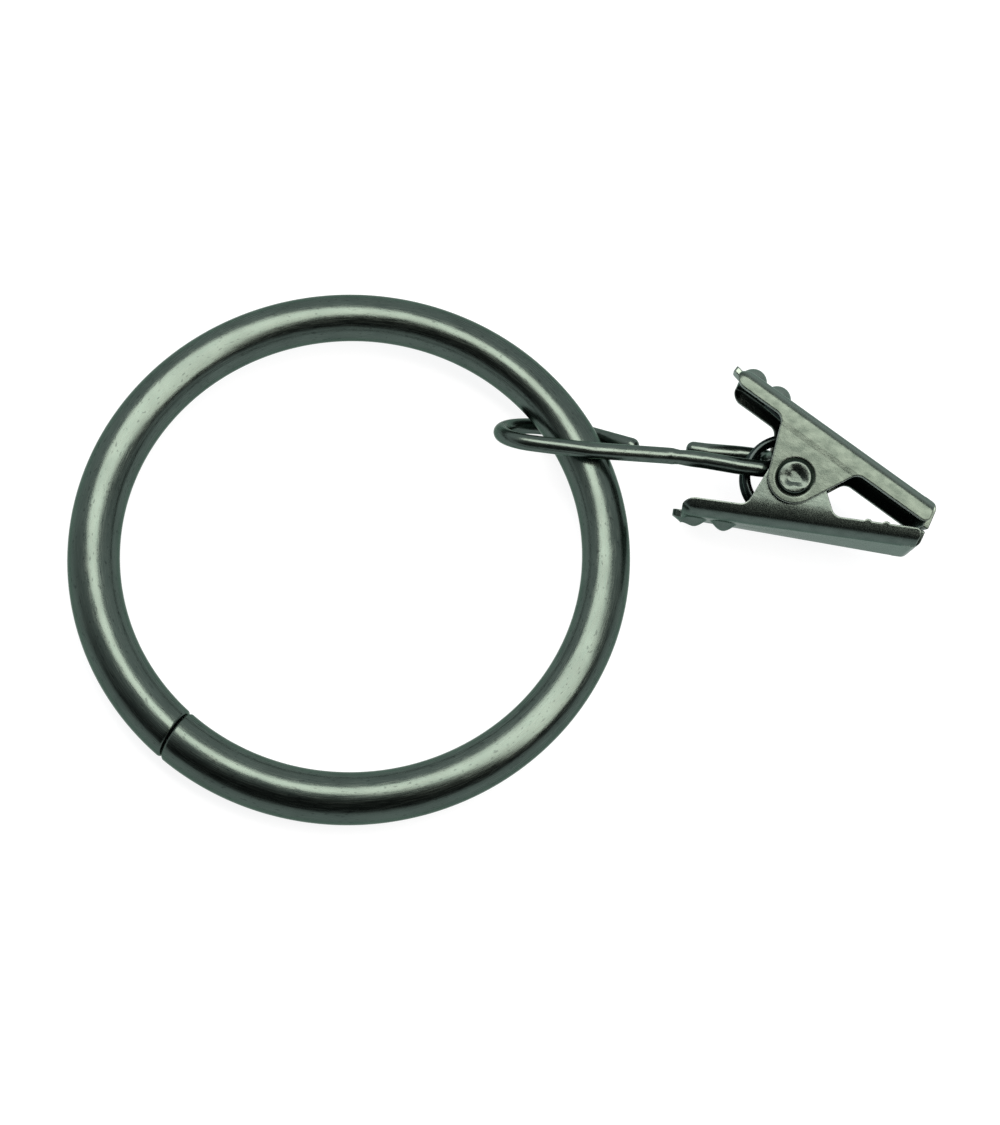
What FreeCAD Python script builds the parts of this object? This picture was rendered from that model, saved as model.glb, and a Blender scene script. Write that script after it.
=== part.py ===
import FreeCAD, Part
import math
import os

# Curtain ring with a hinged clip hung on a bent wire link.
# The ring lies flat about the Z axis, with the rod's axis on Z and the origin at the ring's centre.
# Lengths are in millimetres and angles in degrees.

# Ring bent from round bar, with a butt seam
ring_bore = 38.0
ring_bar = 4.06
seam_slit = 0.12
seam_edge = 0.28
seam_angle = 226.0

# Wire link, bent to an eye round the ring and an eye through the clip's spring
link_wire = 1.4
link_play = 0.15
link_angle = 27.0
link_heading = -12.4
link_rise = 11.2
link_roll = 39.0
link_length = 17.0
link_tip = 6.3
link_waist = 8.4
link_neck = 1.7
link_flare = 2.7
link_sweep = 4.8
link_kink = 2.4
link_corner = 1.1
near_lead = 0.2
far_lead = 1.6
first_end_back = 2.8
first_end_side = -0.1
last_end_ahead = 1.35
link_cut_edge = 0.12

# Clip's lie on the link
clip_roll = 20.7
clip_swing = -14.9
hang_back = 2.1
hang_up = 0.85

# Jaws folded from sheet
sheet = 0.5
bend = 0.8
jaw_play = 0.1
side_play = 0.14
jaw_splay = 14.5
upper_height = 5.0
lower_height = 4.1
upper_rear = 8.75
lower_rear = 8.65
upper_front = 10.4
lower_front = 10.6
upper_rear_flange = 1.55
upper_front_flange = 1.8
lower_rear_flange = 1.45
lower_front_flange = 1.45
ear_radius = 2.15
ear_front_angle = 65.0
ear_rear_angle = 113.0
ear_fillet = 0.9
tail_round = 1.05
mouth_round = 0.45

# Lips folded across the jaws' mouths
lip_bend = 0.7
lip_slit = 0.1
lip_proud = 0.28
lip_edge = 0.12
bite_height = 0.12
bite_gap = 0.1

# Finger domes and carrier tongues on the tails
dome_width = 2.4
dome_rise = 1.1
dome_inset = 1.1
dome_pitch = 2.5
tongue_width = 2.2
tongue_length = 0.75
upper_tongue_round = 0.3
lower_tongue_round = 0.8

# Grip nubs on the lower jaw's front edges
nub_radius = 0.36
nub_rise = 0.16
nub_first = 6.3
nub_pitch = 1.45

# Pivot rivet
rivet_shank = 1.6
rivet_play = 0.05
rivet_head = 2.4
rivet_proud = 0.26
rivet_round = 0.14
rivet_hollow = 1.3
hollow_floor = 0.65
hollow_depth = 0.36
dish_width = 3.3
dish_depth = 0.2

# Torsion spring
spring_wire = 0.7
spring_mean = 3.3
spring_turns = 2
spring_gap = 0.03
spring_back = 0.8
spring_up = 0.1
leg_reach = 5.6
leg_gap = 0.08


def vec(x, y, z=0.0):
    return FreeCAD.Vector(x, y, z)


def turn_about(v, axis, angle):
    return FreeCAD.Rotation(axis, angle).multVec(v)


# Straight runs joined by tangent arcs through a list of corner points
def rounded_path(points, radii, closed):
    count = len(points)
    starts = []
    ends = []
    arcs = []
    for i in range(count):
        here = points[i]
        at_end = not closed and i in (0, count - 1)
        if at_end or radii[i] <= 0:
            starts.append(here)
            ends.append(here)
            arcs.append(None)
            continue
        back = points[i - 1] - here
        ahead = points[(i + 1) % count] - here
        back.normalize()
        ahead.normalize()
        half = back.getAngle(ahead) / 2
        reach = radii[i] / math.tan(half)
        first = here + back * reach
        last = here + ahead * reach
        middle = back + ahead
        middle.normalize()
        centre = here + middle * (radii[i] / math.sin(half))
        top = centre - middle * radii[i]
        starts.append(first)
        ends.append(last)
        arcs.append(Part.Arc(first, top, last).toShape())
    edges = []
    for i in range(count if closed else count - 1):
        if i == 0 and arcs[0]:
            edges.append(arcs[0])
        j = (i + 1) % count
        if ends[i].distanceToPoint(starts[j]) > 1e-6:
            edges.append(Part.makeLine(ends[i], starts[j]))
        if j != 0 and arcs[j]:
            edges.append(arcs[j])
    return Part.Wire(edges)


# A flat outline in X and Y, raised from one height on Z to another
def slab(points, radii, low, high):
    flat = [vec(p[0], p[1], low) for p in points]
    face = Part.Face(rounded_path(flat, radii, True))
    return face.extrude(vec(0, 0, high - low))


# Where two lines meet, each given by its normal and its distance from the origin
def crossing(n1, d1, n2, d2):
    det = n1[0] * n2[1] - n1[1] * n2[0]
    x = (d1 * n2[1] - n1[1] * d2) / det
    y = (n1[0] * d2 - d1 * n2[0]) / det
    return x, y


# Ring, with a slit between the two bar ends and their rims rounded
ring_radius = (ring_bore + ring_bar) / 2
slit_angle = math.degrees(seam_slit / ring_radius)
bar_circle = Part.makeCircle(ring_bar / 2, vec(ring_radius, 0, 0), vec(0, 1, 0))
bar_face = Part.Face(Part.Wire([bar_circle]))
ring = bar_face.revolve(vec(0, 0, 0), vec(0, 0, 1), 360 - slit_angle)
rims = [e for e in ring.Edges if e.Curve.TypeId == "Part::GeomCircle"]
rims = [e for e in rims if abs(e.Curve.Radius - ring_bar / 2) < 1e-6]
ring = ring.makeFillet(seam_edge, rims)
ring.rotate(vec(0, 0, 0), vec(0, 0, 1), seam_angle + slit_angle / 2)

# Link's own directions: along it from ring to clip, and across it from its upper strand to its lower one
heading = math.radians(link_heading)
rise = math.radians(link_rise)
along = vec(math.cos(rise) * math.cos(heading), math.cos(rise) * math.sin(heading), math.sin(rise))
beside = vec(0, 0, 1).cross(along)
beside.normalize()
below = beside.cross(along)
roll = math.radians(link_roll)
across = below * math.cos(roll) + beside * math.sin(roll)
turn = math.radians(link_angle)
bar_point = vec(ring_radius * math.cos(turn), ring_radius * math.sin(turn), 0)
bar_run = vec(-math.sin(turn), math.cos(turn), 0)

# Ring eye, as wide as the bar and the play call for where it leans across the bar
over_bar = along.cross(bar_run)
over_bar.normalize()
bar_room = ring_bar / 2 + link_wire / 2 + link_play
ring_eye = bar_room / abs(across.dot(over_bar))
skew = along.dot(bar_run)
cross_shift = abs(ring_eye * skew * across.dot(bar_run) / (1 - skew * skew))

# Jaw axes: x runs forward along the web, y outward from the pin, z along the pin
splay = math.radians(jaw_splay)


# The upper or lower jaw's own axes to clip axes
def from_jaw(x, y, up):
    a = x * math.cos(splay) + y * math.sin(splay)
    b = -x * math.sin(splay) + y * math.cos(splay)
    return (a, b if up else -b)


# Spring legs run from the handles' webs to a tangent on the coil
spring_centre = (-spring_back, spring_up)


# Angle round the coil at which a straight leg from a tip touches it
def tangent_angle(tip, side):
    dx = tip[0] - spring_centre[0]
    dy = tip[1] - spring_centre[1]
    far = math.hypot(dx, dy)
    return math.atan2(dy, dx) - side * math.acos(spring_mean / far)


coil_step = spring_wire + spring_gap
upper_seat = upper_height - sheet - spring_wire / 2 - leg_gap
lower_seat = lower_height - sheet - spring_wire / 2 - leg_gap
upper_tip = from_jaw(-leg_reach, upper_seat, True)
lower_tip = from_jaw(-leg_reach, lower_seat, False)
leave_angle = math.degrees(tangent_angle(upper_tip, 1))
enter_angle = math.degrees(tangent_angle(lower_tip, -1))
coil_angle = (leave_angle - enter_angle) % 360 + 360 * spring_turns
coil_run = coil_step * coil_angle / 360
coil_half = coil_run / 2 + spring_wire / 2

# Widths stack outward from the coil: play, link strand, play, lower ear, play, upper ear
tilt = math.radians(clip_roll)
strand_side = coil_half + link_play + link_wire / 2
clip_eye = strand_side / math.cos(tilt)
lower_inner = strand_side + link_wire / 2 + side_play
lower_width = 2 * (lower_inner + sheet)
upper_width = lower_width + 2 * (jaw_play + sheet)

# Link bent from one wire: cut end, ring eye, neck, clip eye, cut end
coil_back = spring_mean + spring_wire / 2 + spring_back - hang_back
flare_end = link_length - coil_back - link_wire / 3
flare_start = flare_end - link_flare
link_flat = [
    (link_waist - first_end_back, first_end_side),
    (far_lead - cross_shift, ring_eye),
    (-link_tip, ring_eye),
    (-link_tip, -ring_eye),
    (near_lead + cross_shift, -ring_eye),
    (link_waist, -link_neck),
    (flare_start, -link_neck),
    (flare_end, -clip_eye),
    (link_length, -clip_eye),
    (link_length, clip_eye),
    (flare_end, clip_eye),
    (flare_start, link_neck),
    (link_waist + last_end_ahead, link_neck),
]
link_bends = [0, link_sweep, ring_eye, ring_eye, link_sweep, link_kink, link_kink, link_kink]
link_bends += [link_corner, link_corner, link_kink, link_kink, 0]
link_points = [bar_point + along * p + across * q for p, q in link_flat]
link_path = rounded_path(link_points, link_bends, False)
start_run = link_points[1] - link_points[0]
link_circle = Part.makeCircle(link_wire / 2, link_points[0], start_run)
link = link_path.makePipeShell([Part.Wire([link_circle])], True, False)
cut_faces = [f for f in link.Faces if f.Surface.TypeId == "Part::GeomPlane"]
cut_edges = [e for f in cut_faces for e in f.Edges]
link = link.makeFillet(link_cut_edge, cut_edges)

# Clip's own directions: the pin's axis square to the link, then the clip swung about it
pin_up = turn_about(across, along, -clip_roll) * -1
forward = turn_about(along, pin_up, clip_swing)
outward = pin_up.cross(forward)
hang_point = bar_point + along * link_length
pin_point = hang_point + forward * hang_back - outward * hang_up
clip_place = FreeCAD.Placement(FreeCAD.Matrix(
    forward.x, outward.x, pin_up.x, pin_point.x,
    forward.y, outward.y, pin_up.y, pin_point.y,
    forward.z, outward.z, pin_up.z, pin_point.z,
    0, 0, 0, 1,
))


# Sheet bent to a channel along X, with round bends and its flanges hanging down to a depth
def channel(width, height, depth, rear, front):
    side = width / 2
    outer = [vec(-rear, -depth, -side), vec(-rear, height, -side)]
    outer += [vec(-rear, height, side), vec(-rear, -depth, side)]
    inner = [vec(-rear, -depth, side - sheet), vec(-rear, height - sheet, side - sheet)]
    inner += [vec(-rear, height - sheet, sheet - side), vec(-rear, -depth, sheet - side)]
    radii = [0, bend, bend, 0, 0, bend - sheet, bend - sheet, 0]
    face = Part.Face(rounded_path(outer + inner, radii, True))
    return face.extrude(vec(rear + front, 0, 0))


# One folded jaw in its own axes
def jaw(width, height, rear, front, rear_flange, front_flange, bite, tongue_round):
    side = width / 2
    front_angle = math.radians(ear_front_angle)
    rear_angle = math.radians(ear_rear_angle)
    front_line = (math.sin(front_angle), -math.cos(front_angle))
    rear_line = (-math.sin(rear_angle), math.cos(rear_angle))
    front_edge = height - front_flange
    rear_edge = height - rear_flange
    ear_tip = crossing(front_line, ear_radius, rear_line, ear_radius)
    ear_front = crossing(front_line, ear_radius, (0, 1), front_edge)
    ear_rear = crossing(rear_line, ear_radius, (0, 1), rear_edge)
    lean = math.tan(splay)
    mouth = front - lip_proud
    outline = [
        (-rear, height + sheet),
        (mouth - sheet * lean, height + sheet),
        (mouth + front_flange * lean, front_edge),
        ear_front,
        ear_tip,
        ear_rear,
        (-rear, rear_edge),
    ]
    radii = [0, 0, mouth_round, ear_fillet, ear_radius, ear_fillet, tail_round]
    body = channel(width, height, ear_radius + sheet, rear, front + front_flange)
    body = body.common(slab(outline, radii, -width, width))

    # Mouth of the web cut back to make room for the folded lip
    lip_half = side - sheet - lip_slit
    notch = Part.makeBox(front, height + 2 * sheet, 2 * (lip_half + lip_slit))
    notch.translate(vec(front - lip_bend, -sheet, -lip_half - lip_slit))
    body = body.cut(notch)

    # Lip folded down square to the clip's length, as far as the other jaw's lip
    drop = from_jaw(front, height, True)[1] - bite
    down = (math.sin(splay), -math.cos(splay))
    lip_root = front - lip_bend - sheet
    lip_fold = front - sheet * (1 - math.sin(splay)) / math.cos(splay)
    lip = [
        (lip_root, height),
        (front, height),
        (front + drop * down[0], height + drop * down[1]),
        (front + drop * down[0] + sheet * down[1], height + drop * down[1] - sheet * down[0]),
        (lip_fold, height - sheet),
        (lip_root, height - sheet),
    ]
    lip_radii = [0, lip_bend, lip_edge, lip_edge, lip_bend - sheet, 0]
    body = body.fuse(slab(lip, lip_radii, -lip_half, lip_half))

    # Tongue left from the carrier strip at the tail
    tail = [
        (-rear - tongue_length, -tongue_width / 2),
        (-rear + sheet, -tongue_width / 2),
        (-rear + sheet, tongue_width / 2),
        (-rear - tongue_length, tongue_width / 2),
    ]
    tongue = slab(tail, [tongue_round, 0, 0, tongue_round], 0, sheet)
    tongue.rotate(vec(0, 0, 0), vec(1, 0, 0), 90)
    tongue.translate(vec(0, height, 0))
    body = body.fuse(tongue)

    # Finger domes pressed outward, hollow beneath
    dome_radius = (dome_width * dome_width / 4 + dome_rise * dome_rise) / (2 * dome_rise)
    lid = Part.makeBox(rear + front, dome_rise + sheet, 2 * side)
    lid.translate(vec(-rear, height - sheet / 2, -side))
    for i in range(2):
        middle = vec(-rear + dome_inset + i * dome_pitch, height + dome_rise - dome_radius, 0)
        body = body.fuse(Part.makeSphere(dome_radius, middle).common(lid))
        body = body.cut(Part.makeSphere(dome_radius - sheet, middle))

    # Pivot hole through both ears
    hole = Part.makeCylinder(rivet_shank / 2 + rivet_play, 2 * width, vec(0, 0, -width))
    return body.cut(hole)


# Upper jaw in clip axes, with a dish pressed into each ear for the rivet's heads
upper_jaw = jaw(
    upper_width,
    upper_height,
    upper_rear,
    upper_front,
    upper_rear_flange,
    upper_front_flange,
    bite_height,
    upper_tongue_round,
)
dish_floor = rivet_head / 2 + rivet_play
for end in (1, -1):
    base = vec(0, 0, end * (upper_width / 2 - dish_depth))
    dish = Part.makeCone(dish_floor, dish_width / 2, dish_depth, base, vec(0, 0, end))
    upper_jaw = upper_jaw.cut(dish)
upper_jaw = upper_jaw.removeSplitter()
upper_jaw.rotate(vec(0, 0, 0), vec(0, 0, 1), -jaw_splay)

# Lower jaw, with grip nubs on its front edges, turned over about the clip's length
lower_jaw = jaw(
    lower_width,
    lower_height,
    lower_rear,
    lower_front,
    lower_rear_flange,
    lower_front_flange,
    bite_gap - bite_height,
    lower_tongue_round,
)
nub_level = lower_height - lower_front_flange + nub_radius - nub_rise
for i in range(2):
    for edge in (lower_width / 2 - sheet, -lower_width / 2):
        base = vec(nub_first + i * nub_pitch, nub_level, edge)
        lower_jaw = lower_jaw.fuse(Part.makeCylinder(nub_radius, sheet, base))
lower_jaw = lower_jaw.removeSplitter()
lower_jaw.rotate(vec(0, 0, 0), vec(0, 0, 1), -jaw_splay)
lower_jaw.rotate(vec(0, 0, 0), vec(1, 0, 0), 180)

# Rivet with a crushed hollow in each head
seat = upper_width / 2 - dish_depth + rivet_play
top = upper_width / 2 + rivet_proud
profile = [
    (0, 0),
    (rivet_shank / 2, 0),
    (rivet_shank / 2, seat),
    (rivet_head / 2, seat),
    (rivet_head / 2, top),
    (rivet_hollow / 2, top),
    (hollow_floor / 2, top - hollow_depth),
    (0, top - hollow_depth),
]
rivet_radii = [0, 0, 0, 0, rivet_round, rivet_round, 0, 0]
half_rivet = Part.Face(rounded_path([vec(p[0], p[1]) for p in profile], rivet_radii, True))
half_rivet = half_rivet.revolve(vec(0, 0, 0), vec(0, 1, 0), 360)
half_rivet.rotate(vec(0, 0, 0), vec(1, 0, 0), 90)
pivot_rivet = half_rivet.fuse(half_rivet.mirror(vec(0, 0, 0), vec(0, 0, 1))).removeSplitter()

# Spring: a close coil round the pin with a leg to each handle
helix = Part.makeHelix(coil_step, coil_run, spring_mean)
helix.rotate(vec(0, 0, 0), vec(0, 0, 1), enter_angle)
helix.translate(vec(spring_centre[0], spring_centre[1], -coil_run / 2))
coil_path = Part.Wire(helix.Edges)
coil_start = coil_path.OrderedVertexes[0].Point
coil_end = coil_path.OrderedVertexes[-1].Point
slope = coil_step / (2 * math.pi * spring_mean)


# Direction of the wire at an angle round the coil
def coil_tangent(angle):
    a = math.radians(angle)
    run = vec(-math.sin(a), math.cos(a), slope)
    run.normalize()
    return run


start_circle = Part.makeCircle(spring_wire / 2, coil_start, coil_tangent(enter_angle))
coil = coil_path.makePipeShell([Part.Wire([start_circle])], True, True)
enter_run = math.hypot(lower_tip[0] - coil_start.x, lower_tip[1] - coil_start.y)
leave_run = math.hypot(upper_tip[0] - coil_end.x, upper_tip[1] - coil_end.y)
enter_leg = Part.makeCylinder(spring_wire / 2, enter_run, coil_start, coil_tangent(enter_angle) * -1)
leave_leg = Part.makeCylinder(spring_wire / 2, leave_run, coil_end, coil_tangent(leave_angle))
torsion_spring = coil.fuse([enter_leg, leave_leg])

# Clip's pieces laid on the link
for piece in (upper_jaw, lower_jaw, pivot_rivet, torsion_spring):
    piece.Placement = clip_place.multiply(piece.Placement)

os.makedirs("parts", exist_ok=True)
pieces = {
    "ring": ring,
    "link": link,
    "upper_jaw": upper_jaw,
    "lower_jaw": lower_jaw,
    "pivot_rivet": pivot_rivet,
    "torsion_spring": torsion_spring,
}
for name, shape in pieces.items():
    solid = shape.Solids[0] if len(shape.Solids) == 1 else shape
    solid.exportStep("parts/" + name + ".step")
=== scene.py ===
import math

import bmesh
import bpy
from mathutils import Matrix, Vector


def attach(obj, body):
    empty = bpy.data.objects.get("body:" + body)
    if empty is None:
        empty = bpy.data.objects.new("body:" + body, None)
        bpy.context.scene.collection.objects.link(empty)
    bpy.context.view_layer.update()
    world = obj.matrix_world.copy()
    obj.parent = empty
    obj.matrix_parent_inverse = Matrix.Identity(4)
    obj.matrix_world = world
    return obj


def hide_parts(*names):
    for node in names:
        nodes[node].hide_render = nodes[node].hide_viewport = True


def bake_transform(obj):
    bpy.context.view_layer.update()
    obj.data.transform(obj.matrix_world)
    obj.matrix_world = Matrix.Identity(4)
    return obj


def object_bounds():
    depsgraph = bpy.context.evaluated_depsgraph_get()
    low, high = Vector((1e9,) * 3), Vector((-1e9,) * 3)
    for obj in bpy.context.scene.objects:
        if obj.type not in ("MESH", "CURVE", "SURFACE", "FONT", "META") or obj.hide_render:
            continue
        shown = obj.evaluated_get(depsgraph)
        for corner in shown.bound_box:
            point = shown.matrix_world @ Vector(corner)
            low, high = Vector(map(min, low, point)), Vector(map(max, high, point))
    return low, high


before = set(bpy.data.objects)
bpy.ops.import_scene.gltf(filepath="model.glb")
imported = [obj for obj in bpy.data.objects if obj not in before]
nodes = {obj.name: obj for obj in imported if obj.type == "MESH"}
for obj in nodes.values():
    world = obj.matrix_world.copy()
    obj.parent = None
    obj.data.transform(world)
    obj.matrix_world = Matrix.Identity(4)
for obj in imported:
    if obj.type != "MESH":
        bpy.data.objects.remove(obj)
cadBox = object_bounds()
mm = 0.001
print("frame: loaded", len(nodes), "pieces")


def addNode(tree, kind, **settings):
    made = tree.nodes.new(kind)
    for key, value in settings.items():
        setattr(made, key, value)
    return made


def join(tree, source, target):
    tree.links.new(source, target)


def ranged(tree, value, low, high, toLow, toHigh, kind="LINEAR"):
    made = addNode(tree, "ShaderNodeMapRange", interpolation_type=kind)
    made.inputs["From Min"].default_value = low
    made.inputs["From Max"].default_value = high
    made.inputs["To Min"].default_value = toLow
    made.inputs["To Max"].default_value = toHigh
    join(tree, value, made.inputs["Value"])
    return made.outputs["Result"]


def meshObject(name, mesh):
    made = bpy.data.objects.new(name, mesh)
    bpy.context.scene.collection.objects.link(made)
    return made


# clip axes: x forward along the clip, y outward to the upper handle, z along the rivet
clipLie = {
    "forward": (0.88875, -0.44536, 0.1085),
    "outward": (0.38581, 0.85459, 0.3476),
    "pin": (-0.24753, -0.26707, 0.93134),
    "pinAt": (36.56353, 4.30478, 3.23438),  # mm
}


def clipMatrix():
    turned = Matrix((clipLie["forward"], clipLie["outward"], clipLie["pin"])).transposed()
    return Matrix.Translation(Vector(clipLie["pinAt"]) * mm) @ turned.to_4x4()


clipPlace = clipMatrix()


def clipPoint(x, y, z):
    return clipPlace @ Vector((x * mm, y * mm, z * mm))


# camera fitted to the photograph's ring
view = {
    "at": (1.64, -33.67, 95.25),  # mm
    "right": (0.99474, -0.03254, 0.09714),
    "ahead": (0.10245, 0.31598, -0.94322),
    "focalPixels": 1210.0,
    "imageHeight": 1125,
    "sensor": 36.0,
    "near": 0.005,  # metres
    "far": 50.0,
}


def makeCamera():
    data = bpy.data.cameras.new("photoCamera")
    data.sensor_width = view["sensor"]
    data.lens = view["focalPixels"] * view["sensor"] / view["imageHeight"]
    data.clip_start = view["near"]
    data.clip_end = view["far"]
    right = Vector(view["right"]).normalized()
    back = -Vector(view["ahead"]).normalized()
    up = back.cross(right).normalized()
    right = up.cross(back)
    camera = bpy.data.objects.new("photoCamera", data)
    turned = Matrix((right, up, back)).transposed().to_4x4()
    camera.matrix_world = Matrix.Translation(Vector(view["at"]) * mm) @ turned
    bpy.context.scene.collection.objects.link(camera)
    bpy.context.scene.camera = camera


makeCamera()
bpy.context.scene.view_settings.view_transform = "Standard"
print("camera: placed")

# light, room and floor
studio = {
    "boxAt": (28.0, 8.0, 105.0),  # mm, a long softbox hung close over the object
    "boxTurn": -37.0,
    "boxLong": 225.0,
    "boxWide": 54.0,
    "boxGlow": 7.8,  # radiance
    "boxColour": (1.0, 0.88, 0.8),
    "gloom": 0.04,  # the dark room on the camera's side
    "wall": 1.04,  # pale wall on the far side
    "wallSouth": -0.45,
    "wallNorth": 0.6,
    "haze": 0.95,  # white all round at the horizon
    "hazeLow": 0.2,
    "hazeHigh": 0.34,
    "floorTone": (0.8, 0.88, 0.94, 1),
    "floorGlow": 1.1,
    "floorShare": 0.8,
    "floorSize": 6.0,  # metres
    "massAt": (5.6, 1.0),  # mm, where the object's weight bears down
    "hullMerge": 0.02,  # mm
    "hullDown": -0.9,  # facets that face down at least this much can bear the weight
}


def softbox():
    data = bpy.data.lights.new("softbox", "AREA")
    data.shape = "RECTANGLE"
    data.size = studio["boxLong"] * mm
    data.size_y = studio["boxWide"] * mm
    data.energy = studio["boxGlow"] * math.pi * data.size * data.size_y
    data.color = studio["boxColour"]
    lamp = bpy.data.objects.new("softbox", data)
    at = Vector(studio["boxAt"]) * mm
    lamp.matrix_world = Matrix.Translation(at) @ Matrix.Rotation(math.radians(studio["boxTurn"]), 4, "Z")
    bpy.context.scene.collection.objects.link(lamp)


def surroundings():
    world = bpy.data.worlds.new("studio")
    world.use_nodes = True
    tree = world.node_tree
    tree.nodes.clear()
    coords = addNode(tree, "ShaderNodeTexCoord")
    split = addNode(tree, "ShaderNodeSeparateXYZ")
    spans = (
        ("Z", studio["hazeLow"], studio["hazeHigh"], studio["haze"], 0.0),
        ("Y", studio["wallSouth"], studio["wallNorth"], studio["gloom"], studio["wall"]),
    )
    brighter = addNode(tree, "ShaderNodeMath", operation="MAXIMUM")
    sky = addNode(tree, "ShaderNodeBackground")
    sky.inputs["Color"].default_value = (1, 1, 1, 1)
    out = addNode(tree, "ShaderNodeOutputWorld")
    join(tree, coords.outputs["Generated"], split.inputs[0])
    for i, (axis, low, high, toLow, toHigh) in enumerate(spans):
        fade = ranged(tree, split.outputs[axis], low, high, toLow, toHigh, "SMOOTHSTEP")
        join(tree, fade, brighter.inputs[i])
    join(tree, brighter.outputs[0], sky.inputs["Strength"])
    join(tree, sky.outputs[0], out.inputs["Surface"])
    bpy.context.scene.world = world


def restingPlane():
    # the facet of the lower hull that the object's weight falls on
    hull = bmesh.new()
    for piece in nodes.values():
        for vertex in piece.data.vertices:
            if vertex.co.z < 0:
                hull.verts.new(vertex.co)
    bmesh.ops.remove_doubles(hull, verts=hull.verts, dist=studio["hullMerge"] * mm)
    bmesh.ops.convex_hull(hull, input=hull.verts)
    weight = Vector(studio["massAt"]) * mm
    found = (Vector((0, 0, cadBox[0].z)), Vector((0, 0, 1)))
    for face in hull.faces:
        if face.normal.z > studio["hullDown"]:
            continue
        corners = [v.co.xy for v in face.verts]
        sides = []
        for i, corner in enumerate(corners):
            run = corners[(i + 1) % len(corners)] - corner
            gap = weight - corner
            sides.append(run.x * gap.y - run.y * gap.x)
        if all(s >= 0 for s in sides) or all(s <= 0 for s in sides):
            found = (face.calc_center_median().copy(), -face.normal.copy())
    hull.free()
    return found


def floorMaterial():
    # pale to the eye and in the metal, plain matt to all other light
    paint = bpy.data.materials.new("paleFloor")
    paint.use_nodes = True
    tree = paint.node_tree
    tree.nodes.clear()
    matt = addNode(tree, "ShaderNodeBsdfDiffuse")
    matt.inputs["Color"].default_value = studio["floorTone"]
    glow = addNode(tree, "ShaderNodeEmission")
    glow.inputs["Strength"].default_value = studio["floorGlow"]
    seen = addNode(tree, "ShaderNodeLightPath")
    either = addNode(tree, "ShaderNodeMath", operation="MAXIMUM")
    share = addNode(tree, "ShaderNodeMath", operation="MULTIPLY")
    share.inputs[1].default_value = studio["floorShare"]
    mix = addNode(tree, "ShaderNodeMixShader")
    out = addNode(tree, "ShaderNodeOutputMaterial")
    join(tree, seen.outputs["Is Camera Ray"], either.inputs[0])
    join(tree, seen.outputs["Is Glossy Ray"], either.inputs[1])
    join(tree, either.outputs[0], share.inputs[0])
    join(tree, share.outputs[0], mix.inputs["Fac"])
    join(tree, matt.outputs[0], mix.inputs[1])
    join(tree, glow.outputs[0], mix.inputs[2])
    join(tree, mix.outputs[0], out.inputs["Surface"])
    return paint


def makeFloor():
    at, up = restingPlane()
    along = up.cross(Vector((0, 1, 0))).normalized()
    beside = up.cross(along)
    half = studio["floorSize"] / 2
    square = ((-1, -1), (1, -1), (1, 1), (-1, 1))
    corners = [at + along * half * a + beside * half * b for a, b in square]
    mesh = bpy.data.meshes.new("floor")
    mesh.from_pydata([c[:] for c in corners], [], [(0, 1, 2, 3)])
    mesh.materials.append(floorMaterial())
    floor = meshObject("floor", mesh)
    print("floor: leans", round(math.degrees(up.angle(Vector((0, 0, 1)))), 2), "degrees under the object")


softbox()
surroundings()
makeFloor()


def sweptPlace(tree):
    # millimetres across the bar and along it, from the sweep's own attributes
    cross = addNode(tree, "ShaderNodeAttribute", attribute_name="crossAt")
    along = addNode(tree, "ShaderNodeAttribute", attribute_name="alongAt")
    split = addNode(tree, "ShaderNodeSeparateXYZ")
    whole = addNode(tree, "ShaderNodeCombineXYZ")
    join(tree, cross.outputs["Vector"], split.inputs[0])
    join(tree, split.outputs["X"], whole.inputs["X"])
    join(tree, split.outputs["Y"], whole.inputs["Y"])
    join(tree, along.outputs["Fac"], whole.inputs["Z"])
    return whole.outputs[0]


def clipPlaceNodes(tree):
    # millimetres in the clip's axes
    coords = addNode(tree, "ShaderNodeTexCoord")
    turned = addNode(tree, "ShaderNodeMapping", vector_type="TEXTURE")
    turned.inputs["Location"].default_value = clipPlace.translation
    turned.inputs["Rotation"].default_value = clipPlace.to_euler()
    turned.inputs["Scale"].default_value = (mm, mm, mm)
    join(tree, coords.outputs["Object"], turned.inputs["Vector"])
    return turned.outputs[0]


def stretchedNoise(tree, place, size, detail):
    grown = addNode(tree, "ShaderNodeVectorMath", operation="DIVIDE")
    grown.inputs[1].default_value = size
    made = addNode(tree, "ShaderNodeTexNoise")
    made.inputs["Scale"].default_value = 1.0
    made.inputs["Detail"].default_value = detail
    join(tree, place, grown.inputs[0])
    join(tree, grown.outputs[0], made.inputs["Vector"])
    return made.outputs["Fac"]


def mixedColour(tree, share, first, second):
    made = addNode(tree, "ShaderNodeMix", data_type="RGBA")
    join(tree, share, made.inputs["Factor"])
    shown = [s for s in made.inputs if s.type == "RGBA"]
    for socket, colour in zip(shown, (first, second)):
        if isinstance(colour, tuple):
            socket.default_value = colour
        else:
            join(tree, colour, socket)
    return [s for s in made.outputs if s.type == "RGBA"][0]


def reachAlong(tree, place, way):
    made = addNode(tree, "ShaderNodeVectorMath", operation="DOT_PRODUCT")
    made.inputs[1].default_value = way
    join(tree, place, made.inputs[0])
    return made.outputs["Value"]


def sunkPanel(tree, place, look, normal):
    # the ears are set in a little from the flange above them
    reach = reachAlong(tree, place, look["panelWay"])
    step = addNode(tree, "ShaderNodeBump")
    step.inputs["Distance"].default_value = look["panelDeep"] * mm
    rise = ranged(tree, reach, look["panelFrom"], look["panelTo"], 0.0, 1.0)
    join(tree, rise, step.inputs["Height"])
    join(tree, normal, step.inputs["Normal"])
    return step.outputs[0]


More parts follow.
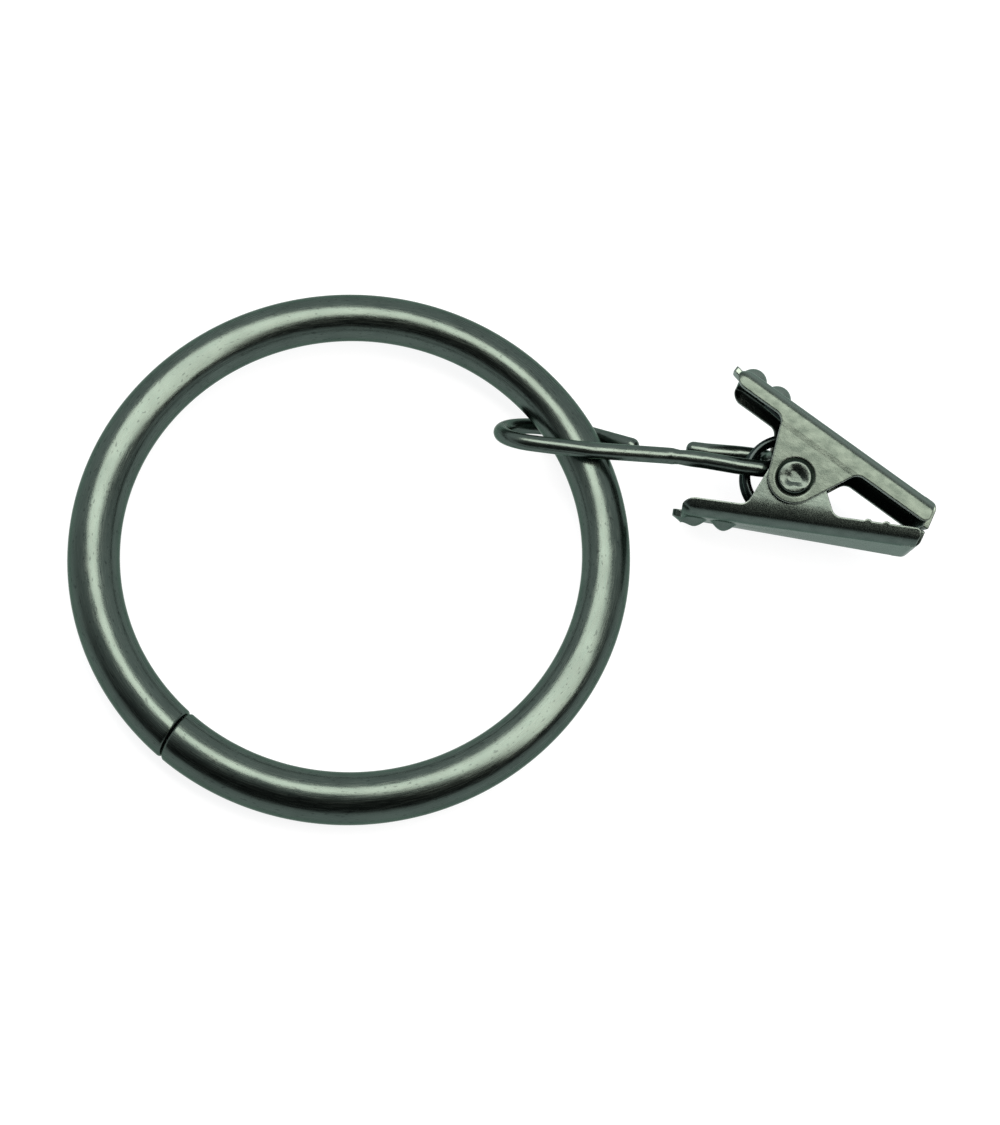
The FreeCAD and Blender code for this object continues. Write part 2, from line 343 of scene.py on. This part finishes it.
def paintedFoldHighlight(tree, place, look, colour):
    # painted highlight: the colour is made brighter along the fold, standing in for its sheen
    reach = reachAlong(tree, place, look["panelWay"])
    share = ranged(tree, reach, look["rollFrom"], look["rollTo"], 0.0, 1.0)
    return mixedColour(tree, share, colour, look["rollHighlightTone"])


def paintedEdgeHighlight(tree, roundedEdge, look, colour):
    # painted highlight: the colour is made brighter where the rounded edge turns away from its face,
    # standing in for the rim's glint
    face = addNode(tree, "ShaderNodeNewGeometry")
    turned = addNode(tree, "ShaderNodeVectorMath", operation="DOT_PRODUCT")
    join(tree, roundedEdge, turned.inputs[0])
    join(tree, face.outputs["Normal"], turned.inputs[1])
    share = ranged(tree, turned.outputs["Value"], look["edgeFrom"], look["edgeTo"], 0.0, look["edgeShare"])
    return mixedColour(tree, share, colour, look["edgeHighlightTone"])


# noise detail and the spans of noise that each mark of the plating takes
plating = {
    "grainDetail": 2.0,
    "grainSpan": (0.3, 0.7),
    "cloudDetail": 3.0,
    "cloudSpan": (0.35, 0.65),
    "speckDetail": 0.0,
    "speckSpan": 0.06,
    "rippleDetail": 2.0,
    "edgeSamples": 8,
}


def platedSteel(name, look, placeNodes):
    steel = bpy.data.materials.new(name)
    steel.use_nodes = True
    tree = steel.node_tree
    tree.nodes.clear()
    place = placeNodes(tree)
    grain = stretchedNoise(tree, place, look["grain"], plating["grainDetail"])
    cloud = stretchedNoise(tree, place, look["cloud"], plating["cloudDetail"])
    speck = stretchedNoise(tree, place, look["speck"], plating["speckDetail"])
    dents = stretchedNoise(tree, place, look["ripple"], plating["rippleDetail"])
    speckTo = look["speckFrom"] + plating["speckSpan"]
    pits = ranged(tree, speck, look["speckFrom"], speckTo, 0.0, look["speckDepth"])
    patches = ranged(tree, cloud, *plating["cloudSpan"], 0.0, 1.0)
    colour = mixedColour(tree, patches, look["deep"], look["pale"])
    streak = ranged(tree, grain, *plating["grainSpan"], 0.0, look["streak"])
    colour = mixedColour(tree, streak, colour, look["bright"])
    colour = mixedColour(tree, pits, colour, look["pitAndShade"])
    # painted shade: faces on the jaws' inside take the dark pit colour
    inner = addNode(tree, "ShaderNodeAttribute", attribute_name="shadedInside")
    colour = mixedColour(tree, inner.outputs["Fac"], colour, look["pitAndShade"])
    rough = ranged(tree, grain, *plating["grainSpan"], look["roughLow"], look["roughHigh"])
    shader = addNode(tree, "ShaderNodeBsdfPrincipled")
    shader.inputs["Metallic"].default_value = 1.0
    shader.inputs["Specular Tint"].default_value = look["edge"]
    roundedEdge = addNode(tree, "ShaderNodeBevel", samples=plating["edgeSamples"])
    roundedEdge.inputs["Radius"].default_value = look["wornEdge"] * mm
    ripple = addNode(tree, "ShaderNodeBump")
    ripple.inputs["Distance"].default_value = look["rippleHigh"] * mm
    relief = addNode(tree, "ShaderNodeBump")
    relief.inputs["Distance"].default_value = look["grainHigh"] * mm
    out = addNode(tree, "ShaderNodeOutputMaterial")
    if "rollHighlightTone" in look:
        colour = paintedFoldHighlight(tree, place, look, colour)
    if "edgeHighlightTone" in look:
        colour = paintedEdgeHighlight(tree, roundedEdge.outputs[0], look, colour)
    join(tree, colour, shader.inputs["Base Color"])
    join(tree, rough, shader.inputs["Roughness"])
    shaped = roundedEdge.outputs[0]
    if "panelWay" in look:
        shaped = sunkPanel(tree, place, look, shaped)
    join(tree, shaped, ripple.inputs["Normal"])
    join(tree, dents, ripple.inputs["Height"])
    join(tree, ripple.outputs[0], relief.inputs["Normal"])
    join(tree, grain, relief.inputs["Height"])
    join(tree, relief.outputs[0], shader.inputs["Normal"])
    join(tree, shader.outputs[0], out.inputs["Surface"])
    return steel


# finishes, with the sizes of their marks in mm
ringLook = {
    "deep": (0.05, 0.07, 0.062, 1),
    "pale": (0.062, 0.086, 0.076, 1),
    "bright": (0.095, 0.118, 0.104, 1),
    "pitAndShade": (0.018, 0.024, 0.023, 1),
    "edge": (0.5, 0.58, 0.53, 1),
    "grain": (0.09, 0.09, 1.4),  # mm across, across, along
    "grainHigh": 0.0025,
    "ripple": (0.5, 0.5, 1.6),
    "rippleHigh": 0.006,
    "cloud": (1.6, 1.6, 3.0),
    "speck": (0.14, 0.14, 0.4),
    "speckFrom": 0.71,
    "speckDepth": 0.5,
    "streak": 0.35,
    "roughLow": 0.19,
    "roughHigh": 0.31,
    "wornEdge": 0.02,
}
linkLook = dict(
    ringLook,
    deep=(0.052, 0.072, 0.064, 1),
    pale=(0.068, 0.093, 0.083, 1),
    grain=(0.07, 0.07, 1.0),
    speck=(0.12, 0.12, 0.4),
)
springLook = dict(
    ringLook,
    deep=(0.013, 0.019, 0.019, 1),
    pale=(0.021, 0.03, 0.03, 1),
    bright=(0.048, 0.064, 0.062, 1),
    grain=(0.06, 0.06, 0.8),
)
jawLook = dict(
    ringLook,
    deep=(0.052, 0.074, 0.066, 1),
    pale=(0.07, 0.096, 0.086, 1),
    bright=(0.115, 0.148, 0.131, 1),
    edge=(0.5, 0.58, 0.54, 1),
    # pit colour: the dark of real pits, and painted shade on the jaws' inside faces
    pitAndShade=(0.05, 0.064, 0.057, 1),
    grain=(0.11, 0.08, 0.08),
    grainHigh=0.0008,
    ripple=(0.35, 0.25, 0.25),
    rippleHigh=0.0045,
    cloud=(1.1, 0.8, 0.8),
    speck=(0.12, 0.12, 0.12),
    roughLow=0.2,
    roughHigh=0.32,
    wornEdge=0.2,
    # painted highlight on the jaws' rounded edges
    edgeFrom=0.98,
    edgeTo=0.8,
    edgeShare=0.8,
    edgeHighlightTone=(0.3, 0.36, 0.32, 1),
)
# painted shade: the same jaw steel as the lower jaw in darker tones, so the whole upper jaw renders darker
upperLook = dict(
    jawLook,
    deep=(0.026, 0.038, 0.032, 1),
    pale=(0.053, 0.072, 0.061, 1),
    bright=(0.095, 0.12, 0.104, 1),
    grainHigh=0.002,
    rippleHigh=0.007,
    panelWay=(0.25038, 0.96815, 0),
    panelFrom=2.75,
    panelTo=3.2,
    panelDeep=0.02,
    # painted highlight along the upper jaw's fold
    rollFrom=4.35,
    rollTo=4.65,
    rollHighlightTone=(0.12, 0.155, 0.138, 1),
)
rivetLook = dict(
    jawLook,
    deep=(0.031, 0.044, 0.039, 1),
    pale=(0.046, 0.063, 0.056, 1),
    wornEdge=0.05,
    ripple=(0.3, 0.3, 0.3),
    rippleHigh=0.014,
)

ringSteel = platedSteel("ringSteel", ringLook, sweptPlace)
linkSteel = platedSteel("linkSteel", linkLook, sweptPlace)
springSteel = platedSteel("springSteel", springLook, sweptPlace)
upperSteel = platedSteel("upperSteel", upperLook, clipPlaceNodes)
lowerSteel = platedSteel("lowerSteel", jawLook, clipPlaceNodes)
rivetSteel = platedSteel("rivetSteel", rivetLook, clipPlaceNodes)
print("finishes: six plated steels")


def barSweepTree():
    # a round bar swept along a path whose corners have their own bend radii
    tree = bpy.data.node_groups.new("barSweep", "GeometryNodeTree")
    sockets = (
        ("Path", "NodeSocketGeometry"),
        ("Bar Radius", "NodeSocketFloat"),
        ("Steps Around", "NodeSocketInt"),
        ("Steps Per Bend", "NodeSocketInt"),
        ("Finish", "NodeSocketMaterial"),
    )
    for label, kind in sockets:
        tree.interface.new_socket(label, in_out="INPUT", socket_type=kind)
    tree.interface.new_socket("Bar", in_out="OUTPUT", socket_type="NodeSocketGeometry")
    given = addNode(tree, "NodeGroupInput")
    toCurve = addNode(tree, "GeometryNodeMeshToCurve")
    bends = addNode(tree, "GeometryNodeInputNamedAttribute", data_type="FLOAT")
    bends.inputs["Name"].default_value = "bendRadius"
    rounded = addNode(tree, "GeometryNodeFilletCurve", mode="POLY")
    join(tree, given.outputs["Path"], toCurve.inputs["Mesh"])
    join(tree, toCurve.outputs[0], rounded.inputs["Curve"])
    join(tree, given.outputs["Steps Per Bend"], rounded.inputs["Count"])
    join(tree, bends.outputs[0], rounded.inputs["Radius"])
    run = addNode(tree, "GeometryNodeSplineParameter")
    keepRun = addNode(tree, "GeometryNodeCaptureAttribute", domain="POINT")
    keepRun.capture_items.new("FLOAT", "run")
    join(tree, rounded.outputs[0], keepRun.inputs["Geometry"])
    join(tree, run.outputs["Length"], keepRun.inputs["run"])
    section = addNode(tree, "GeometryNodeCurvePrimitiveCircle", mode="RADIUS")
    spot = addNode(tree, "GeometryNodeInputPosition")
    keepSpot = addNode(tree, "GeometryNodeCaptureAttribute", domain="POINT")
    keepSpot.capture_items.new("VECTOR", "spot")
    join(tree, given.outputs["Bar Radius"], section.inputs["Radius"])
    join(tree, given.outputs["Steps Around"], section.inputs["Resolution"])
    join(tree, section.outputs[0], keepSpot.inputs["Geometry"])
    join(tree, spot.outputs[0], keepSpot.inputs["spot"])
    thick = addNode(tree, "GeometryNodeInputNamedAttribute", data_type="FLOAT")
    thick.inputs["Name"].default_value = "thickness"
    sweep = addNode(tree, "GeometryNodeCurveToMesh")
    sweep.inputs["Fill Caps"].default_value = True
    join(tree, keepRun.outputs["Geometry"], sweep.inputs["Curve"])
    join(tree, keepSpot.outputs["Geometry"], sweep.inputs["Profile Curve"])
    join(tree, thick.outputs[0], sweep.inputs["Scale"])
    runInMm = addNode(tree, "ShaderNodeMath", operation="DIVIDE")
    runInMm.inputs[1].default_value = mm
    spotInMm = addNode(tree, "ShaderNodeVectorMath", operation="DIVIDE")
    spotInMm.inputs[1].default_value = (mm, mm, mm)
    join(tree, keepRun.outputs["run"], runInMm.inputs[0])
    join(tree, keepSpot.outputs["spot"], spotInMm.inputs[0])
    storeRun = addNode(tree, "GeometryNodeStoreNamedAttribute", data_type="FLOAT", domain="POINT")
    storeRun.inputs["Name"].default_value = "alongAt"
    storeSpot = addNode(tree, "GeometryNodeStoreNamedAttribute", data_type="FLOAT_VECTOR", domain="POINT")
    storeSpot.inputs["Name"].default_value = "crossAt"
    join(tree, sweep.outputs[0], storeRun.inputs["Geometry"])
    join(tree, runInMm.outputs[0], storeRun.inputs["Value"])
    join(tree, storeRun.outputs[0], storeSpot.inputs["Geometry"])
    join(tree, spotInMm.outputs[0], storeSpot.inputs["Value"])
    smooth = addNode(tree, "GeometryNodeSetShadeSmooth")
    real = addNode(tree, "GeometryNodeRealizeInstances")
    painted = addNode(tree, "GeometryNodeSetMaterial")
    out = addNode(tree, "NodeGroupOutput")
    join(tree, storeSpot.outputs[0], smooth.inputs["Geometry"])
    join(tree, smooth.outputs[0], real.inputs["Geometry"])
    join(tree, real.outputs[0], painted.inputs["Geometry"])
    join(tree, given.outputs["Finish"], painted.inputs["Material"])
    join(tree, painted.outputs[0], out.inputs["Bar"])
    return tree


barSweep = barSweepTree()


def setInput(modifier, label, value):
    for item in modifier.node_group.interface.items_tree:
        if item.item_type == "SOCKET" and item.in_out == "INPUT" and item.name == label:
            modifier[item.identifier] = value


def roundedEnd(barRadius, edge, steps=6):
    # how far from a cut end, and how thick the bar is there, round a quarter circle
    stations = []
    for i in range(steps + 1):
        a = math.pi / 2 * i / steps
        stations.append((edge * (1 - math.cos(a)), 1 - edge * (1 - math.sin(a)) / barRadius))
    return stations


def sweptBar(name, path, barRadius, aroundSteps, bendSteps, finish):
    # path: (point in metres, bend radius in metres, thickness as a share)
    route = bpy.data.meshes.new(name + "Path")
    route.from_pydata([p[0][:] for p in path], [(i, i + 1) for i in range(len(path) - 1)], [])
    bends = route.attributes.new("bendRadius", "FLOAT", "POINT")
    thick = route.attributes.new("thickness", "FLOAT", "POINT")
    for i, p in enumerate(path):
        bends.data[i].value = p[1]
        thick.data[i].value = p[2]
    guide = meshObject(name + "Guide", route)
    modifier = guide.modifiers.new("sweep", "NODES")
    modifier.node_group = barSweep
    setInput(modifier, "Bar Radius", barRadius)
    setInput(modifier, "Steps Around", aroundSteps)
    setInput(modifier, "Steps Per Bend", bendSteps)
    setInput(modifier, "Finish", finish)
    bpy.context.view_layer.update()
    ready = guide.evaluated_get(bpy.context.evaluated_depsgraph_get())
    mesh = bpy.data.meshes.new_from_object(ready)
    mesh.name = name
    bpy.data.objects.remove(guide)
    print(name + ":", len(mesh.polygons), "faces")
    return meshObject(name, mesh)


def straightEnds(path, barRadius, edge):
    # adds the stations of a rounded cut end to the first and last straight runs
    stations = roundedEnd(barRadius, edge)
    first = (path[1][0] - path[0][0]).normalized()
    last = (path[-2][0] - path[-1][0]).normalized()
    opening = [(path[0][0] + first * d, 0.0, t) for d, t in stations]
    closing = [(path[-1][0] + last * d, 0.0, t) for d, t in reversed(stations)]
    return opening + path[1:-1] + closing


def between(value, low, high):
    return max(0.0, min((value - low) / (high - low), 1.0))


def eased(share):
    return share * share * (3 - 2 * share)


# ring of round bar, butted at a seam that was cut a little askew
ringBar = {
    "middle": 21.03,  # mm, radius to the bar's middle
    "bar": 4.05,
    "slit": 0.1,
    "slitEdge": 0.26,
    "endClear": 0.39,  # mm from a cut end to the first plain station
    "slitSkew": 0.16,
    "slitReach": 3.0,
    "seamAngle": 229.0,
    "steps": 360,
    "around": 64,
    "perBend": 1,
}


def makeRing():
    middle = ringBar["middle"]
    barRadius = ringBar["bar"] / 2
    whole = 2 * math.pi * middle - ringBar["slit"]
    ends = roundedEnd(barRadius, ringBar["slitEdge"])
    stations = list(ends)
    for i in range(1, ringBar["steps"]):
        at = whole * i / ringBar["steps"]
        if ringBar["endClear"] < at < whole - ringBar["endClear"]:
            stations.append((at, 1.0))
    stations += [(whole - d, t) for d, t in reversed(ends)]
    path = []
    for at, thickness in stations:
        a = math.radians(ringBar["seamAngle"]) + (at + ringBar["slit"] / 2) / middle
        path.append((Vector((math.cos(a), math.sin(a), 0)) * middle * mm, 0.0, thickness))
    made = sweptBar("plainRing", path, barRadius * mm, ringBar["around"], ringBar["perBend"], ringSteel)
    seam = math.radians(ringBar["seamAngle"])
    for vertex in made.data.vertices:
        out = vertex.co.xy.length / mm
        a = math.atan2(vertex.co.y, vertex.co.x) - seam
        a = (a + math.pi) % (2 * math.pi) - math.pi
        near = between(abs(a) * middle, ringBar["slitReach"], 0.0)
        turn = ringBar["slitSkew"] * (out - middle) / middle * near
        vertex.co = Matrix.Rotation(turn, 3, "Z") @ vertex.co
    return made


# wire link, one bent wire with an eye at each end
linkWire = {
    "wire": 1.39,
    "barAt": (18.7378, 9.5473, 0.0),  # mm, the ring bar's middle inside the eye
    "along": (0.95807, -0.21065, 0.19423),
    "across": (0.28256, 0.58223, -0.76235),
    "cutEdge": 0.6,
    "route": (  # mm along, mm across, bend radius
        (5.6, -0.1, 0),
        (0.28, 3.323, 4.8),
        (-6.3, 3.323, 3.323),
        (-6.3, -3.323, 3.323),
        (1.52, -3.323, 4.8),
        (8.4, -1.7, 2.4),
        (11.483, -1.7, 2.4),
        (14.183, -2.214, 2.4),
        (17.0, -2.214, 1.1),
        (17.0, 2.214, 1.1),
        (14.183, 2.214, 2.4),
        (11.483, 1.7, 2.4),
        (9.75, 1.7, 0),
    ),
    "pinch": ((8.75, 1.0), (9.05, 0.93), (9.35, 0.89), (9.9, 0.96), (10.5, 1.0)),  # mm along, thickness
    "pinchAfter": 5,
    "around": 40,
    "perBend": 24,
}


def makeLink():
    at = Vector(linkWire["barAt"])
    along = Vector(linkWire["along"])
    across = Vector(linkWire["across"])
    stations = [(p, q, bend, 1.0) for p, q, bend in linkWire["route"]]
    neck = linkWire["pinchAfter"]
    stations[neck + 1:neck + 1] = [(p, stations[neck][1], 0, share) for p, share in linkWire["pinch"]]
    path = [((at + along * p + across * q) * mm, bend * mm, share) for p, q, bend, share in stations]
    barRadius = linkWire["wire"] / 2
    path = straightEnds(path, barRadius * mm, linkWire["cutEdge"] * mm)
    return sweptBar("wireLink", path, barRadius * mm, linkWire["around"], linkWire["perBend"], linkSteel)


# torsion spring round the rivet, with a leg to each handle
spring = {
    "wire": 0.7,
    "mean": 3.3,
    "pitch": 0.73,
    "centre": (-0.6, 0.135, -0.3),
    "slump": (0.3, 0.63),  # how far the loose turns slide from the lower end to the upper
    "lowerTip": (-4.628, -4.471),
    "upperTip": (-4.403, 5.342),
    "turns": 2,
    "stepsPerTurn": 72,
    "cutEdge": 0.1,
    "around": 24,
    "perBend": 1,
    "twistSpan": (-0.4, 0.4),  # share of the coil's length that takes up the jaws' opening
}


def turnCentre(share):
    x, y, z = spring["centre"]
    slideX, slideY = spring["slump"]
    return Vector((x + slideX * (share - 0.5), y + slideY * (share - 0.5), z))


def coilAngle(tip, side):
    centre = turnCentre(0.5 + side / 2)
    dx = tip[0] - centre.x
    dy = tip[1] - centre.y
    return math.atan2(dy, dx) - side * math.acos(spring["mean"] / math.hypot(dx, dy))


def makeSpring():
    enter = coilAngle(spring["lowerTip"], -1)
    leave = coilAngle(spring["upperTip"], 1)
    sweep = (leave - enter) % (2 * math.pi) + 2 * math.pi * spring["turns"]
    rise = spring["pitch"] * sweep / (2 * math.pi)
    steps = round(spring["stepsPerTurn"] * sweep / (2 * math.pi))
    turns = []
    for i in range(steps + 1):
        share = i / steps
        a = enter + sweep * share
        out = Vector((math.cos(a), math.sin(a), 0)) * spring["mean"]
        turns.append(turnCentre(share) + out + Vector((0, 0, rise * (share - 0.5))))
    lowerEnd = Vector((*spring["lowerTip"], turns[0].z))
    upperEnd = Vector((*spring["upperTip"], turns[-1].z))
    spots = [lowerEnd, *turns, upperEnd]
    path = [(clipPoint(*spot), 0.0, 1.0) for spot in spots]
    barRadius = spring["wire"] / 2 * mm
    path = straightEnds(path, barRadius, spring["cutEdge"] * mm)
    made = sweptBar("coilSpring", path, barRadius, spring["around"], spring["perBend"], springSteel)
    return made, rise


# the jaws' pressed sheet, in mm outward from the rivet, forward to the mouth and along the pin
jawForm = {
    "splay": 14.5,
    "sheet": 0.5,
    "merge": 0.0005,
    "edgeGap": 0.01,  # two heights or stations closer than this count as one
    "cuts": (1.9, 2.1, 2.3, 2.5, 2.7, 2.9, 3.1, 3.3, 3.5, 3.7, 3.9, 4.1),
    "skewFrom": 1.9,
    "skewBelow": 0.6,  # the twist is complete this far below the web's face
    "skewRun": (-9.0, 6.0),  # square at the tail and fully askew at the mouth
    "tailCuts": (-0.6, -0.4, -0.2, -0.06, 0.12, 0.24, 0.36, 0.5, 0.65, 0.8),  # from the tail's edge
    "tailRun": 0.9,
    "tailDrop": 0.4,
    "tailPinch": 0.3,
    "cornerDeep": 1.5,
    "cornerIn": 0.5,
    "tongueHalf": 1.2,
    "tongueLong": 0.9,
    "rootRun": 1.0,  # over which the tongue swells out of the web
    "beakRun": 0.8,
    "beakHalf": 1.8,
    "acrossCuts": (0.0, 0.3, 0.6, 0.9, 1.2, 1.5, 1.8),  # either side of the middle, at the tail only
    "acrossRun": 1.3,
    "domeAt": (1.1, 3.6),  # from the tail's edge
    "domeReach": 1.2,
    "rimGap": 0.05,  # a corner this close to the dome's reach lies on its rim
    "domeSunk": 0.1045,  # from the web's face down to the plain dome's centre
    "domeInner": 0.95,  # between the plain dome's hollow and its outside
    "domeFall": 1.6,
    "hollowShare": 0.5,
    "sideways": 0.5,  # a face that leans this far along the pin belongs to a flange
    "backward": -0.5,
    "downward": -0.3,
    "insideDeep": 1.2,
    "insideFold": 0.45,
    "insideLip": 0.6,
    "crease": 20.0,
}
upperForm = dict(
    jawForm,
    side=1,
    web=5.0,
    half=4.011,
    rear=8.75,
    leanFrom=3.6,
    lean=0.12,  # each flange leans in toward its fold
    skew=0.0,
    domeHigh=None,
    tongueSwell=0.2,
    tongueLift=0.2,
)
lowerForm = dict(
    jawForm,
    side=-1,
    web=4.1,
    half=3.411,
    rear=8.65,
    leanFrom=1.9,
    lean=0.4,
    skew=0.115,  # the lower web is folded askew
    domeHigh=0.68,
    tongueSwell=1.0,
    tongueLift=0.0,
)


def fromDome(form, x, z):
    # distance from the middle of the nearer dome
    along = min((x + form["rear"] - inset for inset in form["domeAt"]), key=abs)
    return math.hypot(along, z)


def beak(form, past, z):
    # share of the swelling where the tongue leaves the web, on both sides of the tail's edge
    if past > 0:
        run = 1 - between(past, 0.0, form["beakRun"])
    else:
        run = (1 - between(-past, 0.0, form["rootRun"])) ** 2
    return run * eased(between(abs(z), form["beakHalf"], 0.0))


def softDome(form, x, y, z):
    # the plain round dome drawn out into a low bump that runs smoothly into the web
    out = fromDome(form, x, z)
    rise = y - form["web"]
    if math.hypot(out, rise + form["domeSunk"]) < form["domeInner"]:
        return form["web"] + form["hollowShare"] * rise
    left = max(0.0, 1 - (out / form["domeReach"]) ** 2)
    return form["web"] + form["domeHigh"] * left ** form["domeFall"]


def pressed(form, x, y, z):
    # where a point of the plain folded sheet lies on the pressed one, in the jaw's own axes
    half, web = form["half"], form["web"]
    inner = web - form["sheet"]
    past = -x - form["rear"]
    if past > form["edgeGap"]:
        y = inner + (y - inner) * (1 + form["tongueSwell"] * beak(form, past, z))
        y += form["tongueLift"] * between(past, 0.0, form["tongueLong"])
    elif form["domeHigh"] and y > web - form["edgeGap"]:
        y = softDome(form, x, y, z) + form["sheet"] * form["tongueSwell"] * beak(form, past, z)
    z *= 1 - form["lean"] * between(y, form["leanFrom"], web) ** 2 / half
    tail = between(-x, form["rear"] - form["tailRun"], form["rear"]) ** 2
    corner = between(y, web - form["cornerDeep"], web)
    corner *= between(abs(z), form["tongueHalf"], half - form["cornerIn"])
    y -= form["tailDrop"] * tail * corner
    z *= 1 - form["tailPinch"] * tail / half
    turn = eased(between(y, form["skewFrom"], web - form["skewBelow"]))
    y += form["skew"] * between(x, *form["skewRun"]) * (half - z) * turn
    return x, y, z


def facesInward(face, form, ahead, outward):
    # whether a face belongs to the jaw's inside, which is painted darker as shade: a flange's, the lip's or
    # the web's
    at = face.calc_center_median() / mm
    aside = abs(at.z)
    if abs(face.normal.z) > form["sideways"]:
        return face.normal.z * at.z < 0
    if at.dot(outward) < form["web"] - form["insideDeep"] or aside > form["half"] - form["insideFold"]:
        return face.normal.dot(ahead) < form["backward"] and aside < form["half"] - form["insideLip"]
    return face.normal.dot(outward) < form["downward"]


def tailParts(work, form, ahead, outward):
    # the outer faces round the tongue's root, with their edges and corners
    found = {}
    for face in work.faces:
        at = face.calc_center_median() / mm
        rearward = at.dot(ahead) < form["acrossRun"] - form["rear"]
        if rearward and at.dot(outward) > form["web"] - form["edgeGap"]:
            found.update(dict.fromkeys((face, *face.edges, *face.verts)))
    return list(found)


def pressedJaw(node, name, form, finish):
    mesh = nodes[node].data.copy()
    mesh.name = name
    work = bmesh.new()
    work.from_mesh(mesh)
    bmesh.ops.remove_doubles(work, verts=work.verts, dist=form["merge"] * mm)
    splay = math.radians(form["splay"])
    outward = Vector((math.sin(splay), form["side"] * math.cos(splay), 0))
    ahead = Vector((math.cos(splay), -form["side"] * math.sin(splay), 0))
    work.transform(clipPlace.inverted())
    cuts = [(outward, cut) for cut in form["cuts"]]
    cuts += [(ahead, cut - form["rear"]) for cut in form["tailCuts"]]
    for way, cut in cuts:
        everything = work.verts[:] + work.edges[:] + work.faces[:]
        bmesh.ops.bisect_plane(work, geom=everything, plane_co=way * cut * mm, plane_no=way)
    pin = Vector((0, 0, 1))
    for cut in sorted({side * cut for cut in form["acrossCuts"] for side in (-1, 1)}):
        tail = tailParts(work, form, ahead, outward)
        bmesh.ops.bisect_plane(work, geom=tail, plane_co=pin * cut * mm, plane_no=pin)
    rims = set()
    for vertex in work.verts:
        at = vertex.co / mm
        x, y, z = at.dot(ahead), at.dot(outward), at.z
        rimAway = abs(fromDome(form, x, z) - form["domeReach"])
        if abs(y - form["web"]) < form["edgeGap"] and rimAway < form["rimGap"]:
            rims.add(vertex)
        x, y, z = pressed(form, x, y, z)
        vertex.co = (ahead * x + outward * y + pin * z) * mm
    work.normal_update()
    # inside faces are marked here for painted shade in the finish
    shadedInside = work.faces.layers.float.new("shadedInside")
    for face in work.faces:
        face.smooth = True
        face[shadedInside] = 1.0 if facesInward(face, form, ahead, outward) else 0.0
    work.transform(clipPlace)
    crease = math.radians(form["crease"])
    for edge in work.edges:
        rim = rims.issuperset(edge.verts)
        edge.smooth = edge.is_manifold and not rim and edge.calc_face_angle(0) < crease
    work.to_mesh(mesh)
    work.free()
    mesh.materials.clear()
    mesh.materials.append(finish)
    print(name + ":", len(mesh.polygons), "faces")
    return meshObject(name, mesh)


# pivot rivet, a turned pin whose hollow heads were crushed to three uneven flats
rivet = {
    "shank": 0.8,  # mm, radius
    "head": 1.34,
    "seat": 3.8612,
    "top": 4.2712,
    "edge": 0.16,
    "edgeSteps": 6,
    "hollow": 0.93,
    "hollowDepth": 0.2,
    "hollowSteps": (0.0, 0.06, 0.14, 0.3, 0.55, 0.8, 0.95),  # share of the depth
    "hollowMouth": 1.12,  # shares of the hollow's radius
    "hollowTaper": 0.62,
    "hollowCurve": 0.7,
    "hollowFloor": 0.4,
    "crush": 0.2,
    "flats": ((0.6, 3, 0.6), (0.1, 5, 1.9), (0.35, 2, 0.0)),  # share, waves round the head, phase
    "sag": (0.03, 2, 1.0),  # mm, waves round the head, phase
    "around": 72,
    "crease": 40.0,
}


def waves(angle, share, count, phase):
    return share * math.cos(count * angle + phase)


def rivetProfile():
    # radius, height, and whether the crushing moves it
    top, head, edge = rivet["top"], rivet["head"], rivet["edge"]
    profile = [(rivet["shank"], rivet["seat"], 0), (head, rivet["seat"], 0)]
    for i in range(rivet["edgeSteps"] + 1):
        a = math.pi / 2 * i / rivet["edgeSteps"]
        profile.append((head - edge + edge * math.cos(a), top - edge + edge * math.sin(a), 0))
    hollow, depth = rivet["hollow"], rivet["hollowDepth"]
    for share in rivet["hollowSteps"]:
        radius = hollow * (rivet["hollowMouth"] - rivet["hollowTaper"] * share ** rivet["hollowCurve"])
        profile.append((radius, top - depth * share, 1))
    profile.append((hollow * rivet["hollowFloor"], top - depth, 1))
    return profile


def makeRivet():
    work = bmesh.new()
    profile = rivetProfile()
    rings = []
    for end in (-1, 1):
        spots = profile if end == 1 else list(reversed(profile))
        for radius, height, crushed in spots:
            ring = []
            for i in range(rivet["around"]):
                a = 2 * math.pi * i / rivet["around"]
                uneven = sum(waves(a, *flat) for flat in rivet["flats"])
                r = radius * (1 + crushed * rivet["crush"] * uneven)
                z = height + crushed * waves(a, *rivet["sag"])
                ring.append(work.verts.new(clipPoint(r * math.cos(a), r * math.sin(a), end * z)))
            rings.append(ring)
    for lower, upper in zip(rings, rings[1:]):
        for i in range(rivet["around"]):
            j = (i + 1) % rivet["around"]
            work.faces.new((lower[i], lower[j], upper[j], upper[i]))
    work.faces.new(list(reversed(rings[0])))
    work.faces.new(rings[-1])
    bmesh.ops.recalc_face_normals(work, faces=work.faces)
    for face in work.faces:
        face.smooth = True
    crease = math.radians(rivet["crease"])
    for edge in work.edges:
        edge.smooth = edge.calc_face_angle(0) < crease
    mesh = bpy.data.meshes.new("pivotRivet")
    work.to_mesh(mesh)
    work.free()
    mesh.materials.append(rivetSteel)
    print("pivotRivet:", len(mesh.polygons), "faces")
    return meshObject("pivotRivet", mesh)


pieces = (
    (makeRing(), "ring", "ring_body", "ring_steel"),
    (makeLink(), "link", "link_body", "link_steel"),
    (pressedJaw("upper_jaw", "upperJaw", upperForm, upperSteel), "upper_jaw", "upper_jaw_body", "jaw_steel"),
    (pressedJaw("lower_jaw", "lowerJaw", lowerForm, lowerSteel), "lower_jaw", "clip_body", "jaw_steel"),
    (makeRivet(), "pivot_rivet", "clip_body", "rivet_steel"),
)
for piece, node, body, slot in pieces:
    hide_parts(node)
    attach(piece, body)

coil, coilRise = makeSpring()
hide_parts("torsion_spring")
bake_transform(coil)
print("pieces: riding on their bodies")
